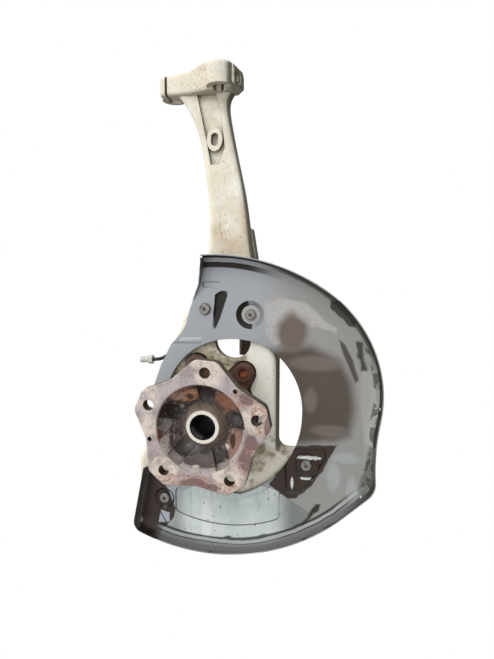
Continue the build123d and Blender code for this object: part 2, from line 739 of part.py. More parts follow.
with BuildPart() as knuckle:
    add(cast_body.part)
    add(neck.part)
    add(rear_pad.part)
    add(arms.part)
    # Shallow channel below the head and the oval pad with its slot
    with BuildSketch(neck_view.offset(OVER)):
        with BuildLine():
            Polyline(*CHANNEL_EDGE, close=True)
        make_face()
    extrude(amount=-CHANNEL_DEPTH - OVER, mode=Mode.SUBTRACT)
    with BuildSketch(neck_view.offset(PAD_RISE)):
        with Locations(OVAL_PAD):
            Ellipse(*PAD_SIZE)
    extrude(amount=-CHANNEL_DEPTH - OVER)
    with BuildSketch(neck_view.offset(OVER)):
        with Locations(OVAL_PAD):
            SlotOverall(*PAD_SLOT, rotation=90)
    extrude(amount=-CHANNEL_DEPTH - OVER - 1, mode=Mode.SUBTRACT)
    add(head.part)
    # Screw bosses for the dust shield
    for x, z, radius, depth in SCREW_SPOTS:
        with BuildSketch(at_depth(SHIELD_FRONT + SHEET_T + depth)):
            with Locations((x, z)):
                Circle(SCREW_BOSS_R)
        extrude(amount=-(CAST_FRONT + CAST_ROUND - SHIELD_FRONT - SHEET_T - depth))
    # Bearing pocket and bore
    with BuildSketch(at_depth(CAST_FRONT - 1)):
        add(ear_plate_outline(EAR_POCKET_GAP))
    extrude(amount=-(SEAT - CAST_FRONT + 1), mode=Mode.SUBTRACT)
    with BuildSketch(at_depth(CAST_FRONT)):
        Circle(PILOT_R + FIT)
        with Locations(*(polar(EAR_CIRCLE_R, turn) for turn in EAR_TURNS)):
            Circle(CLEARANCE_HOLE_R)
        with Locations(WEB_HOLE):
            Circle(WEB_HOLE_R)
        with Locations(CALIPER_UPPER, CALIPER_LOWER):
            Circle(CALIPER_HOLE_R)
    extrude(amount=-60, mode=Mode.SUBTRACT)
    for x, z, radius, depth in SCREW_SPOTS:
        with BuildSketch(at_depth(SHIELD_FRONT)):
            with Locations((x, z)):
                Circle(SCREW_R + FIT)
        extrude(amount=-(SCREW_LENGTH + depth + 3), mode=Mode.SUBTRACT)
    with BuildSketch(Plane.XY.offset(JOINT_BOSS_BOTTOM)):
        with Locations(*((x, JOINT_DEPTH) for x in JOINT_X)):
            Circle(JOINT_BORE_R)
    extrude(amount=JOINT_BOSS_TOP - JOINT_BOSS_BOTTOM - 4, mode=Mode.SUBTRACT)
    with BuildSketch(Plane.XY.offset(TIE_ROD_BOTTOM)):
        with Locations(TIE_ROD):
            Circle(TIE_ROD_BORE_R)
    extrude(amount=TIE_ROD_TOP - TIE_ROD_BOTTOM, mode=Mode.SUBTRACT)
    with BuildSketch(at_depth(PAD_BACK)):
        with Locations((UNION_AT[0], BRACKET_BOLT_Z)):
            Circle(BRACKET_BOLT_R + FIT)
    extrude(amount=BRACKET_BOLT_LENGTH + 2, mode=Mode.SUBTRACT)
save(knuckle, "knuckle")


def shield_outline():
    """Outer edge of the shield, closed on the left beyond what is trimmed away."""
    with BuildSketch(mode=Mode.PRIVATE) as outline:
        with BuildLine():
            top = ThreePointArc(*SHIELD_TOP_ARC)
            side = TangentArc(SHIELD_TOP_ARC[-1], SHIELD_SIDE[0], tangent=top % 1)
            TangentArc(*SHIELD_SIDE, tangent=side % 1)
            Line(SHIELD_SIDE[-1], SHIELD_FOOT_ARC[0])
            ThreePointArc(*SHIELD_FOOT_ARC)
            Polyline(SHIELD_FOOT_ARC[-1], *SHIELD_TAIL, SHIELD_TOP_ARC[0])
        make_face()
        for corner, size in zip((SHIELD_SIDE[-1], SHIELD_FOOT_ARC[-1]), SHIELD_CORNER_ROUNDS):
            fillet(outline.vertices().sort_by_distance(corner)[0], size)
    return outline.sketch


def shield_trim():
    """What is cut from the pressed tray: the middle opening and the side open to the caliper."""
    with BuildSketch(mode=Mode.PRIVATE) as trim:
        with BuildLine():
            Polyline(*HORN_EDGE, OPENING_TOP[0])
            ThreePointArc(*OPENING_TOP[:3])
            ThreePointArc(*OPENING_TOP[2:])
            ThreePointArc(OPENING_TOP[-1], *OPENING_SIDE[:2])
            ThreePointArc(*OPENING_SIDE[1:])
            Polyline(OPENING_SIDE[-1], *TRIM_FOOT, HORN_EDGE[0])
        make_face()
    return trim.sketch


def lower_panel():
    """Crescent pressed into the sheet below the opening."""
    left, right = PANEL_SPAN
    height = PANEL_TOP - PANEL_AT[1] + PANEL_R + 10
    with BuildSketch(mode=Mode.PRIVATE) as panel:
        with Locations(PANEL_AT):
            Circle(PANEL_R)
        with Locations(PANEL_IN_AT):
            Circle(PANEL_IN_R, mode=Mode.SUBTRACT)
        with Locations(((left + right) / 2, PANEL_TOP - height / 2)):
            Rectangle(right - left, height, mode=Mode.INTERSECT)
        fillet(panel.vertices(), PANEL_ROUND)
    return panel.sketch


def shield_form(inward):
    """Solid under a skin of the tray: inward is how far the skin lies inside the outer one."""
    with BuildPart() as form:
        with BuildSketch(at_depth(SHIELD_FRONT + SHEET_T - inward)):
            add(offset(shield_outline(), -inward) if inward else shield_outline())
        extrude(amount=RIM_HEIGHT + SHEET_T)
        bend = form.edges().group_by(Axis.Y)[-1].filter_by(lambda e: e.center().X > -100)
        fillet(bend, RIM_ROUND - inward)
    return form.part


# Lip turned outboard along the horn's left edge, lower towards its foot
with BuildPart() as horn_lip:
    with BuildSketch(at_depth(SHIELD_FRONT + SHEET_T)):
        with BuildLine():
            Polyline((HORN_EDGE[0][0], HORN_TOP - 4), *HORN_EDGE[1:5])
        trace(line_width=SHEET_T)
    extrude(amount=HORN_LIP)
    with BuildSketch(Plane.YZ.offset(HORN_EDGE[4][0] - 5)):
        with BuildLine():
            Polyline(
                (SHIELD_FRONT - HORN_LIP - 1, HORN_EDGE[4][1] - 10),
                (SHIELD_FRONT, HORN_EDGE[4][1] - 10),
                (SHIELD_FRONT, HORN_EDGE[4][1]),
                (SHIELD_FRONT - HORN_LIP + 2, HORN_TOP - 6),
                (SHIELD_FRONT - HORN_LIP - 1, HORN_TOP - 4),
                close=True,
            )
        make_face()
    extrude(amount=30, mode=Mode.SUBTRACT)

# Dust shield: a pressed tray of sheet steel with a rolled rim, trimmed open towards the caliper
with BuildPart() as dust_shield:
    add(shield_form(0))
    add(shield_form(SHEET_T), mode=Mode.SUBTRACT)
    # Stiffening forms, pressed inboard
    for depth, corners in PRESSINGS:
        with BuildSketch(at_depth(SHIELD_FRONT + SHEET_T)) as pressing:
            with BuildLine():
                Polyline(*corners, close=True)
            make_face()
            fillet(pressing.vertices(), PRESS_ROUND)
        extrude(amount=-depth, taper=PRESS_SLOPE)
        with BuildSketch(at_depth(SHIELD_FRONT)):
            add(pressing.sketch_local)
        extrude(amount=-depth, taper=PRESS_SLOPE, mode=Mode.SUBTRACT)
    with BuildSketch(at_depth(SHIELD_FRONT + SHEET_T)):
        add(lower_panel())
    extrude(amount=-PANEL_DEPTH, taper=PRESS_SLOPE)
    with BuildSketch(at_depth(SHIELD_FRONT)):
        add(lower_panel())
    extrude(amount=-PANEL_DEPTH, taper=PRESS_SLOPE, mode=Mode.SUBTRACT)
    # Dished screw seats, pressed inboard
    for x, z, radius, depth in SCREW_SPOTS:
        if depth:
            with BuildSketch(at_depth(SHIELD_FRONT + SHEET_T)):
                with Locations((x, z)):
                    Circle(radius)
            extrude(amount=-depth, taper=DISH_SLOPE)
            with BuildSketch(at_depth(SHIELD_FRONT)):
                with Locations((x, z)):
                    Circle(radius)
            extrude(amount=-depth, taper=DISH_SLOPE, mode=Mode.SUBTRACT)
        with BuildSketch(at_depth(SHIELD_FRONT)):
            with Locations((x, z)):
                Circle(SCREW_R + HOLE_GAP)
        extrude(amount=-depth - 2 * SHEET_T, mode=Mode.SUBTRACT)
    with BuildSketch(at_depth(SHIELD_FRONT + SHEET_T + 10)):
        add(shield_trim())
    extrude(amount=RIM_HEIGHT + 20, mode=Mode.SUBTRACT)
    add(horn_lip.part)
save(dust_shield, "dust_shield")

# Pan-head screws of the shield, with six-lobed recesses
with BuildPart() as shield_screws:
    for x, z, radius, depth in SCREW_SPOTS:
        seat = SHIELD_FRONT + depth
        with BuildSketch(at_depth(seat)):
            with Locations((x, z)):
                Circle(SCREW_HEAD_R)
        extrude(amount=SCREW_HEAD_T)
        with BuildSketch(at_depth(seat)):
            with Locations((x, z)):
                Circle(SCREW_R)
        extrude(amount=-SCREW_LENGTH)
        with BuildSketch(at_depth(seat - SCREW_HEAD_T)):
            with Locations((x, z)):
                RegularPolygon(SCREW_RECESS_R, 3)
                RegularPolygon(SCREW_RECESS_R, 3, rotation=60)
        extrude(amount=-SCREW_RECESS_DEPTH, mode=Mode.SUBTRACT)
    circles = shield_screws.edges().filter_by(GeomType.CIRCLE)
    chamfer(circles.filter_by(lambda e: e.radius > SCREW_HEAD_R - FIT), SCREW_EDGE)
save(shield_screws, "shield_screws")

# Rigid brake pipe: straight runs and bends from the caliper end, behind the casting, to the union
with BuildPart() as brake_pipe:
    with BuildLine() as route:
        FilletPolyline(*PIPE_ROUTE, radius=PIPE_BENDS)
    with BuildSketch(Plane(origin=PIPE_ROUTE[0], z_dir=route.line % 0)):
        Circle(PIPE_R)
    sweep()
    with BuildSketch(Plane(origin=PIPE_ROUTE[0], z_dir=route.line % 0)):
        Circle(PIPE_FLARE_R)
    extrude(amount=1.5)
save(brake_pipe, "brake_pipe")


def flare_nut(place):
    """Flare nut: a threaded barrel and a hexagon, bored for the pipe, from the barrel's tip along z."""
    with BuildPart() as nut:
        with BuildSketch(place):
            Circle(NUT_BARREL_R)
        extrude(amount=NUT_BARREL)
        chamfer(nut.edges().filter_by(GeomType.CIRCLE).sort_by_distance(place.origin)[0], 0.7)
        with BuildSketch(place.offset(NUT_BARREL)):
            RegularPolygon(NUT_ACROSS / 2, 6, major_radius=False)
        extrude(amount=NUT_HEX)
        with BuildSketch(place.offset(-1)):
            Circle(PIPE_R + NUT_GAP)
        extrude(amount=NUT_BARREL + NUT_HEX + 2, mode=Mode.SUBTRACT)
        with BuildSketch(place.offset(-1)):
            Circle(PIPE_FLARE_R + NUT_GAP)
        extrude(amount=3, mode=Mode.SUBTRACT)
    return nut


save(flare_nut(Plane(origin=PIPE_ROUTE[0], z_dir=route.line % 0).offset(-0.5)), "caliper_pipe_nut")
save(
    flare_nut(Plane(origin=(*UNION_AT, UNION_TOP - NUT_BARREL), z_dir=(0, 0, 1))),
    "hose_pipe_nut",
)

# Union of the hose end, standing in the bracket's tab
with BuildPart() as hose_union:
    with BuildSketch(Plane.XY.offset(UNION_BOTTOM)):
        with Locations(UNION_AT):
            Circle(UNION_R)
    extrude(amount=UNION_TOP - UNION_BOTTOM)
    with BuildSketch(Plane.XY.offset(TAB_Z + BRACKET_T)):
        with Locations(UNION_AT):
            RegularPolygon(UNION_HEX_R, 6, major_radius=False)
    extrude(amount=UNION_HEX_T)
    with BuildSketch(Plane.XY.offset(UNION_TOP - NUT_BARREL - 2)):
        with Locations(UNION_AT):
            Circle(NUT_BARREL_R + NUT_GAP)
    extrude(amount=NUT_BARREL + 3, mode=Mode.SUBTRACT)
    with BuildSketch(Plane.XY.offset(UNION_BOTTOM - 1)):
        with Locations(UNION_AT):
            Circle(PIPE_R)
    extrude(amount=UNION_TOP - UNION_BOTTOM, mode=Mode.SUBTRACT)
save(hose_union, "hose_union")

# Bracket: a bent strip bolted on the pad, with a tab that carries the union
with BuildPart() as hose_bracket:
    with BuildSketch(Plane.YZ.offset(UNION_AT[0] - BRACKET_WIDE / 2)):
        with BuildLine():
            Polyline(
                (PAD_BACK, BRACKET_TOP),
                (PAD_BACK, TAB_Z),
                (TAB_END, TAB_Z),
                (TAB_END, TAB_Z + BRACKET_T),
                (PAD_BACK + BRACKET_T, TAB_Z + BRACKET_T),
                (PAD_BACK + BRACKET_T, BRACKET_TOP),
                close=True,
            )
        make_face()
    extrude(amount=BRACKET_WIDE)
    fillet(hose_bracket.edges().filter_by(Axis.Z).group_by(Axis.Y)[-1], BRACKET_CORNER)
    fillet(hose_bracket.edges().filter_by(Axis.Y).group_by(Axis.Z)[-1], BRACKET_CORNER)
    with BuildSketch(Plane.XY.offset(TAB_Z - 1)):
        with Locations(UNION_AT):
            Circle(UNION_R + FIT)
    extrude(amount=BRACKET_T + 2, mode=Mode.SUBTRACT)
    with BuildSketch(at_depth(PAD_BACK - 1)):
        with Locations((UNION_AT[0], BRACKET_BOLT_Z)):
            Circle(BRACKET_BOLT_R + HOLE_GAP)
    extrude(amount=-BRACKET_T - 2, mode=Mode.SUBTRACT)
save(hose_bracket, "hose_bracket")

# Flanged bolt of the bracket
with BuildPart() as bracket_bolt:
    with BuildSketch(at_depth(PAD_BACK + BRACKET_T)):
        with Locations((UNION_AT[0], BRACKET_BOLT_Z)):
            Circle(BRACKET_BOLT_R)
    extrude(amount=BRACKET_BOLT_LENGTH)
    with BuildSketch(at_depth(PAD_BACK + BRACKET_T)):
        with Locations((UNION_AT[0], BRACKET_BOLT_Z)):
            Circle(BRACKET_BOLT_FLANGE[0])
    extrude(amount=-BRACKET_BOLT_FLANGE[1])
    with BuildSketch(at_depth(PAD_BACK + BRACKET_T + BRACKET_BOLT_FLANGE[1])):
        with Locations((UNION_AT[0], BRACKET_BOLT_Z)):
            RegularPolygon(BRACKET_BOLT_HEX[0], 6, major_radius=False)
    extrude(amount=-BRACKET_BOLT_HEX[1])
save(bracket_bolt, "bracket_bolt")
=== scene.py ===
"""Looks, light and camera for the steering knuckle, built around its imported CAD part.

The wheel axis is Y, with Y = 0 at the wheel flange's face and Y growing towards the back. The
centres, sizes and outlines of marks are in mm, as (x, y, z) or as (x, z) seen along the wheel axis.
Grain sizes, the limits of masks and the depths of bumps are in metres.
"""

import math

import bpy
from mathutils import Matrix, Vector

MM = 0.001
NOISE_STEP, NOISE_WIDTH = (0.37, 0.11, 0.23), 0.6
FRONT, BACK, RIGHT, DOWN = (0, -1, 0), (0, 1, 0), (1, 0, 0), (0, 0, -1)

# Forms of the hub, each as where its mask is 0 and where it is 1
DISH_R, DISH_DEPTH = (0.0525, 0.0515), (0.001, 0.002)
LEDGE_R = (0.0458, 0.0475)
COLLAR_R = (0.0275, 0.026)
NOSE_R, NOSE_DEPTH = (0.0215, 0.0195), (0.0118, 0.0108)
BORE_R, BORE_DEPTH = (0.0162, 0.0155), (0.0108, 0.0116)
SPLINE_TIP_R = (0.0146, 0.0142)
BARREL_R = (0.0535, 0.056)
LOBES = 5
FIRST_POCKET, POCKET_CIRCLE_R = math.radians(84.7), 40
THROUGH_FLANGE = 30

# Forms of the shield, and for each screw x, z and the radii in mm between which its shade fades
ROLL_CENTRE, ROLL_R, ROLL_X = (3.4, -37.3), (0.2129, 0.2154), (0.17, 0.175)
PRESSED_CUP = (45.7, 123.9)
CUP_FLOOR_R, CUP_WALL_R, CUP_RIM_R = (0.0112, 0.0104), (0.0105, 0.0115), (0.0172, 0.0165)
SCREW_SEATS = ((-9.1, 130.3, 6.4, 7.8), (113.8, -56.3, 6.4, 8.4), (-64.6, -111.3, 6.4, 8.4))
SHEET_Y = 60
STRIPE_SOFT = 0.01

CAMERA_PLACE = (0.1465, -0.5138, 0.1716)
CAMERA_RIGHT = (0.9839, 0.1790, 0.0)
CAMERA_FORWARD = (-0.1779, 0.9778, -0.1108)
CAMERA_LENS = 27.04

# The sky brightens towards SKY_FROM, over SKY_SPREAD of the cosine to that direction
SKY_FROM = (-0.62, -0.45, 0.64)
SKY_SPREAD, SKY_STRENGTH = (-0.7, 0.9), (0.12, 1.35)
SKY_COLOUR, WHITE = (0.97, 0.985, 1.0, 1.0), (1.0, 1.0, 1.0, 1.0)
KEY_PLACE, KEY_TARGET = (-0.9, -1.3, 1.5), (0.02, 0.05, 0.1)
KEY_SIZE, KEY_POWER, KEY_COLOUR = 0.7, 9.0, (1.0, 0.99, 0.96)

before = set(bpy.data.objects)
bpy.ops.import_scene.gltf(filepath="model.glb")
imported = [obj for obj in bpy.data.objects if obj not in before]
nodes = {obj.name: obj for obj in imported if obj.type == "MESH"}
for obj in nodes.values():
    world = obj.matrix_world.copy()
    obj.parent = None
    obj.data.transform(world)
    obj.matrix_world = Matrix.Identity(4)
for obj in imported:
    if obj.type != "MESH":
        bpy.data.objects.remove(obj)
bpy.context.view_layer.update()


def rgb(r, g, b):
    """Display colour 0-255 as linear values."""
    return tuple(
        c / 12.92 if c <= 0.04045 else ((c + 0.055) / 1.055) ** 2.4
        for c in (r / 255, g / 255, b / 255)
    )


class Paint:
    """One material's node tree. Each method that paints returns an output socket."""

    def __init__(self, name):
        self.material = bpy.data.materials.new(name)
        self.material.use_nodes = True
        self.tree = self.material.node_tree
        self.tree.nodes.clear()
        self.shader = self.tree.nodes.new("ShaderNodeBsdfPrincipled")
        out = self.tree.nodes.new("ShaderNodeOutputMaterial")
        self.tree.links.new(self.shader.outputs[0], out.inputs[0])
        self.place = self.tree.nodes.new("ShaderNodeTexCoord").outputs["Object"]
        self.geometry = self.tree.nodes.new("ShaderNodeNewGeometry")
        self.offset = 0
        self.frays = {}

    def put(self, socket, value):
        """Link or set an input socket."""
        if isinstance(value, bpy.types.NodeSocket):
            self.tree.links.new(value, socket)
        elif isinstance(value, tuple) and socket.type == "RGBA":
            socket.default_value = (*value, 1.0)
        else:
            socket.default_value = value

    def set(self, **values):
        """Link or set inputs of the shader, with _ for a space in their names."""
        for name, value in values.items():
            self.put(self.shader.inputs[name.replace("_", " ")], value)

    def calc(self, operation, a, b):
        node = self.tree.nodes.new("ShaderNodeMath")
        node.operation = operation
        self.put(node.inputs[0], a)
        self.put(node.inputs[1], b)
        return node.outputs[0]

    def vector(self, operation, a, b=None):
        node = self.tree.nodes.new("ShaderNodeVectorMath")
        node.operation = operation
        self.put(node.inputs[0], a)
        if b is not None:
            self.put(node.inputs[1], b)
        return node.outputs["Value" if operation in ("LENGTH", "DOT_PRODUCT") else "Vector"]

    def axis(self, name):
        node = self.tree.nodes.new("ShaderNodeSeparateXYZ")
        self.put(node.inputs[0], self.place)
        return node.outputs[name]

    def radius(self, x=0.0, z=0.0):
        """Distance from the line along Y through (x, z), which is the wheel axis at (0, 0)."""
        away = self.vector("SUBTRACT", self.place, (x * MM, 0.0, z * MM))
        return self.vector("LENGTH", self.vector("MULTIPLY", away, (1, 0, 1)))

    def facing(self, direction):
        """How far the surface faces a direction, -1 to 1."""
        return self.vector("DOT_PRODUCT", self.geometry.outputs["Normal"], direction)

    def band(self, value, low, high):
        """0 below low and 1 above high, smooth between; low may be above high."""
        node = self.tree.nodes.new("ShaderNodeMapRange")
        node.interpolation_type = "SMOOTHSTEP"
        turned = low > high
        self.put(node.inputs["Value"], value)
        self.put(node.inputs["From Min"], min(low, high))
        self.put(node.inputs["From Max"], max(low, high))
        self.put(node.inputs["To Min"], 1.0 if turned else 0.0)
        self.put(node.inputs["To Max"], 0.0 if turned else 1.0)
        return node.outputs["Result"]

    def noise(self, size, detail=5.0, rough=0.55, warp=0.0, stretch=None):
        """Cloudy pattern from 0 to 1 with marks about as wide as size, each in its own place."""
        node = self.tree.nodes.new("ShaderNodeTexNoise")
        self.offset += 1
        shift = tuple(step * self.offset for step in NOISE_STEP)
        place = self.vector("ADD", self.place, shift)
        if stretch:
            place = self.vector("MULTIPLY", place, stretch)
        self.put(node.inputs["Vector"], place)
        self.put(node.inputs["Scale"], NOISE_WIDTH / size)
        self.put(node.inputs["Detail"], detail)
        self.put(node.inputs["Roughness"], rough)
        self.put(node.inputs["Distortion"], warp)
        return node.outputs["Fac"]

    def clouds(self, size, low, high, **grain):
        """Patches of noise: 0 where it is below low and 1 where it is above high."""
        return self.band(self.noise(size, **grain), low, high)

    def fray(self, grain):
        """Noise from about -0.5 to 0.5 that makes edges ragged, one pattern for each grain."""
        if grain not in self.frays:
            self.frays[grain] = self.calc("SUBTRACT", self.noise(grain), 0.5)
        return self.frays[grain]

    def pits(self, size):
        """Distance to scattered points, 0 at each, with cells about as wide as size."""
        node = self.tree.nodes.new("ShaderNodeTexVoronoi")
        self.put(node.inputs["Vector"], self.place)
        self.put(node.inputs["Scale"], 1.0 / size)
        return node.outputs["Distance"]

    def spot(self, centre, size, ragged=0.0, grain=0.01, soft=0.2):
        """1 inside an ellipsoid with half-lengths size, fading to 0, with a ragged edge."""
        away = self.vector("SUBTRACT", self.place, tuple(c * MM for c in centre))
        away = self.vector("DIVIDE", away, tuple(c * MM for c in size))
        away = self.vector("LENGTH", away)
        if ragged:
            away = self.calc("ADD", away, self.calc("MULTIPLY", self.fray(grain), ragged))
        return self.band(away, 1 + soft, 1 - soft)

    def area(self, *corners, soft=1.0, ragged=0.0, grain=0.02):
        """1 on the inner side of every edge of an outline of (x, z) corners, counter-clockwise."""
        inside = None
        for (ax, az), (bx, bz) in zip(corners, corners[1:] + corners[:1]):
            length = math.hypot(bx - ax, bz - az)
            normal = ((az - bz) / length, 0.0, (bx - ax) / length)
            depth = self.vector("DOT_PRODUCT", self.place, normal)
            depth = self.calc("SUBTRACT", depth, (ax * normal[0] + az * normal[2]) * MM)
            inside = self.calc("MINIMUM", inside, depth) if inside else depth
        if ragged:
            inside = self.calc("ADD", inside, self.calc("MULTIPLY", self.fray(grain), ragged * MM))
        return self.band(inside, -soft * MM / 2, soft * MM / 2)

    def both(self, *shares):
        """Product of several masks."""
        result = shares[0]
        for share in shares[1:]:
            result = self.calc("MULTIPLY", result, share)
        return result

    def either(self, masks):
        """Largest of several masks."""
        result = None
        for mask in masks:
            result = self.calc("MAXIMUM", result, mask) if result else mask
        return result

    def mix(self, share, a, b):
        """Colour a where share is 0 and b where it is 1."""
        node = self.tree.nodes.new("ShaderNodeMix")
        node.data_type = "RGBA"
        self.put(node.inputs["Factor"], share)
        self.put(node.inputs[6], a)
        self.put(node.inputs[7], b)
        return node.outputs[2]

    def lay(self, tone, mask, colour, strength=1.0):
        """The tone with a coat of colour where the mask is, thin below a strength of 1."""
        share = mask if strength == 1.0 else self.both(mask, strength)
        return self.mix(share, tone, colour)

    def dab(self, tone, colour, centre, size, ragged, grain, strength=1.0, soft=0.2):
        """The tone with one spot of colour."""
        return self.lay(tone, self.spot(centre, size, ragged, grain, soft), colour, strength)

    def edge(self, radius):
        """1 on worn outer edges and 0 on flat faces."""
        node = self.tree.nodes.new("ShaderNodeBevel")
        node.samples = 4
        self.put(node.inputs["Radius"], radius)
        same = self.vector("DOT_PRODUCT", node.outputs["Normal"], self.geometry.outputs["Normal"])
        return self.band(same, 0.995, 0.9)

    def hollow(self, reach):
        """0 in corners and hollows and 1 on open faces."""
        node = self.tree.nodes.new("ShaderNodeAmbientOcclusion")
        node.samples = 4
        self.put(node.inputs["Distance"], reach)
        return node.outputs["AO"]

    def bump(self, *heights, soft):
        """Relief from (height pattern, depth) pairs, each on the last one, on softened edges."""
        node = self.tree.nodes.new("ShaderNodeBevel")
        node.samples = 4
        self.put(node.inputs["Radius"], soft)
        normal = node.outputs["Normal"]
        for height, depth in heights:
            node = self.tree.nodes.new("ShaderNodeBump")
            self.put(node.inputs["Strength"], 1.0)
            self.put(node.inputs["Distance"], depth)
            self.put(node.inputs["Height"], height)
            self.put(node.inputs["Normal"], normal)
            normal = node.outputs["Normal"]
        self.set(Normal=normal)


def cast_aluminium():
    """Cream, oxidised casting with brown streaks, fine specks and grime round the bearing, painted
    shade on faces turned right or down and in hollows, and painted light on the leg.
    """
    p = Paint("cast_aluminium")
    cream, warm, chalk = rgb(232, 226, 208), rgb(217, 207, 186), rgb(240, 238, 228)
    tone = p.mix(p.clouds(0.035, 0.35, 0.7), cream, warm)
    tone = p.lay(tone, p.clouds(0.016, 0.56, 0.7, warp=0.6), chalk, 0.6)
    tone = p.lay(tone, p.clouds(0.02, 0.56, 0.7, warp=1.0), rgb(160, 132, 104), 0.22)
    tone = p.lay(tone, p.clouds(0.0012, 0.56, 0.7, detail=3), rgb(150, 132, 104), 0.42)
    # Painted shade: olive on faces turned to the right, and darker on faces turned down
    tone = p.lay(tone, p.band(p.facing(RIGHT), 0.55, 0.85), rgb(92, 86, 66), 0.85)
    tone = p.lay(tone, p.band(p.facing(DOWN), 0.5, 0.85), rgb(126, 116, 98), 0.5)

    # Brown streaks at the neck's foot and specks on the clamp head
    front = p.band(p.facing(FRONT), 0.3, 0.6)
    foot = p.spot((20, 73, 226), (26, 24, 34), 0.8)
    tone = p.lay(tone, p.both(foot, front, p.clouds(0.012, 0.35, 0.65)), rgb(190, 160, 124), 0.5)
    streak = p.spot((12, 73, 222), (7, 24, 34), 0.7)
    streak = p.both(streak, front, p.clouds(0.004, 0.54, 0.6, stretch=(2.2, 1, 0.35)))
    tone = p.lay(tone, p.both(streak, p.clouds(0.0016, 0.5, 0.58)), rgb(98, 76, 56), 0.8)
    cluster = p.both(p.spot((-16, 72, 399), (26, 30, 14), 0.8), p.band(p.pits(0.0026), 0.3, 0.16))
    tone = p.lay(tone, cluster, rgb(104, 86, 64), 0.75)

    # Grime round the bearing, which the right leg is clear of, and painted light on the leg's front
    grime = p.band(p.calc("ADD", p.radius(), p.both(p.fray(0.014), 0.05)), 0.088, 0.066)
    leg = p.area((44, -30), (92, -44), (92, 100), (40, 100), soft=6)
    grime = p.both(grime, p.calc("SUBTRACT", 1.0, p.both(leg, 0.93)))
    # The leg's front is clean cream painted brighter still, as light against the shade of the
    # shield and hub
    clean_lit_cream = p.mix(p.noise(0.01), rgb(255, 253, 244), rgb(246, 242, 228))
    tone = p.lay(tone, p.both(leg, front), clean_lit_cream, 0.85)
    thin = p.clouds(0.005, 0.3, 0.7, detail=6, rough=0.65)
    dirt = p.mix(thin, rgb(24, 20, 14), rgb(206, 190, 150))
    tone = p.lay(tone, grime, dirt, 0.85)
    low = p.area((20, -130), (100, -130), (100, -30), (62, -24), soft=16, ragged=24)
    low = p.both(low, p.clouds(0.007, 0.5, 0.66, detail=6))
    tone = p.lay(tone, low, rgb(120, 104, 70), 0.65)
    top = p.spot((-14, 66, 82), (34, 20, 24), 0.8)
    top = p.both(top, p.clouds(0.006, 0.46, 0.6, detail=6))
    tone = p.lay(tone, top, rgb(112, 98, 70), 0.6)
    # Painted shade in corners and hollows
    tone = p.lay(tone, p.band(p.hollow(0.012), 0.75, 0.35), rgb(74, 64, 48), 0.5)

    speck = p.band(p.calc("ADD", p.pits(0.005), p.both(p.noise(0.02), 0.25)), 0.24, 0.17)
    tone = p.lay(tone, speck, rgb(76, 62, 46), 0.75)
    p.set(Base_Color=tone, Metallic=0.0, Roughness=p.clouds(0.006, -0.6, 1.6))
    p.set(Specular_IOR_Level=0.3)
    p.bump((p.noise(0.0016, 3), 0.0003), (p.noise(0.014), 0.0009), (speck, -0.0004), soft=0.0014)
    return p.material


def hub_flange(p):
    """The flange's tone: lilac-grey with cream lobes, rusty sides, plum stains and rust specks."""
    darker = p.clouds(0.012, 0.38, 0.64, detail=6, warp=0.6)
    tone = p.mix(darker, rgb(185, 174, 172), rgb(158, 144, 142))
    cream = p.either(
        p.spot((x, 0, z), (size, THROUGH_FLANGE, size), 0.9, 0.012)
        for x, z, size in (
            (10, 70, 20), (-62, 34, 16), (62, 16, 17), (33, -54, 17), (-43, -48, 16), (-60, 2, 14)
        )
    )
    cream = p.both(cream, p.clouds(0.005, 0.3, 0.6, detail=6))
    tone = p.lay(tone, cream, rgb(226, 210, 194), 0.9)
    rusty = p.either(
        p.spot((x, 0, z), (wide, THROUGH_FLANGE, high), 0.9, 0.012)
        for x, z, wide, high in (
            (70, 22, 13, 26), (56, -28, 15, 22), (28, -68, 24, 10),
            (-12, -60, 26, 9), (-42, -62, 15, 10), (50, 38, 16, 12),
        )
    )
    orange = p.both(rusty, p.clouds(0.006, 0.35, 0.6, detail=6))
    tone = p.lay(tone, orange, rgb(184, 146, 126), 0.6)
    plum = p.either(
        p.spot((x, 0, z), (wide, THROUGH_FLANGE, high), 1.1, 0.007)
        for x, z, wide, high in (
            (58, -12, 9, 9), (52, -30, 8, 14), (-8, -62, 15, 6),
            (10, -65, 12, 5), (53, 38, 8, 7), (76, 6, 4, 15),
        )
    )
    plum = p.both(plum, p.clouds(0.0035, 0.3, 0.46, detail=6, rough=0.7))
    tone = p.lay(tone, plum, rgb(110, 84, 86), 0.85)

    grains = p.band(p.calc("ADD", p.noise(0.0022, rough=0.7), p.both(rusty, 0.1)), 0.6, 0.68)
    tone = p.lay(tone, grains, rgb(140, 88, 64), 0.65)
    dots = p.clouds(0.0024, 0.57, 0.64, detail=6, rough=0.7)
    dots = p.both(dots, p.calc("ADD", p.both(rusty, 0.7), 0.3))
    tone = p.mix(dots, tone, rgb(88, 54, 42))
    tone = p.lay(tone, p.clouds(0.0011, 0.5, 0.72, detail=3), rgb(128, 98, 84), 0.45)
    blots = p.clouds(0.009, 0.54, 0.66, detail=7, rough=0.65)
    return p.lay(tone, blots, rgb(138, 108, 100), 0.35)


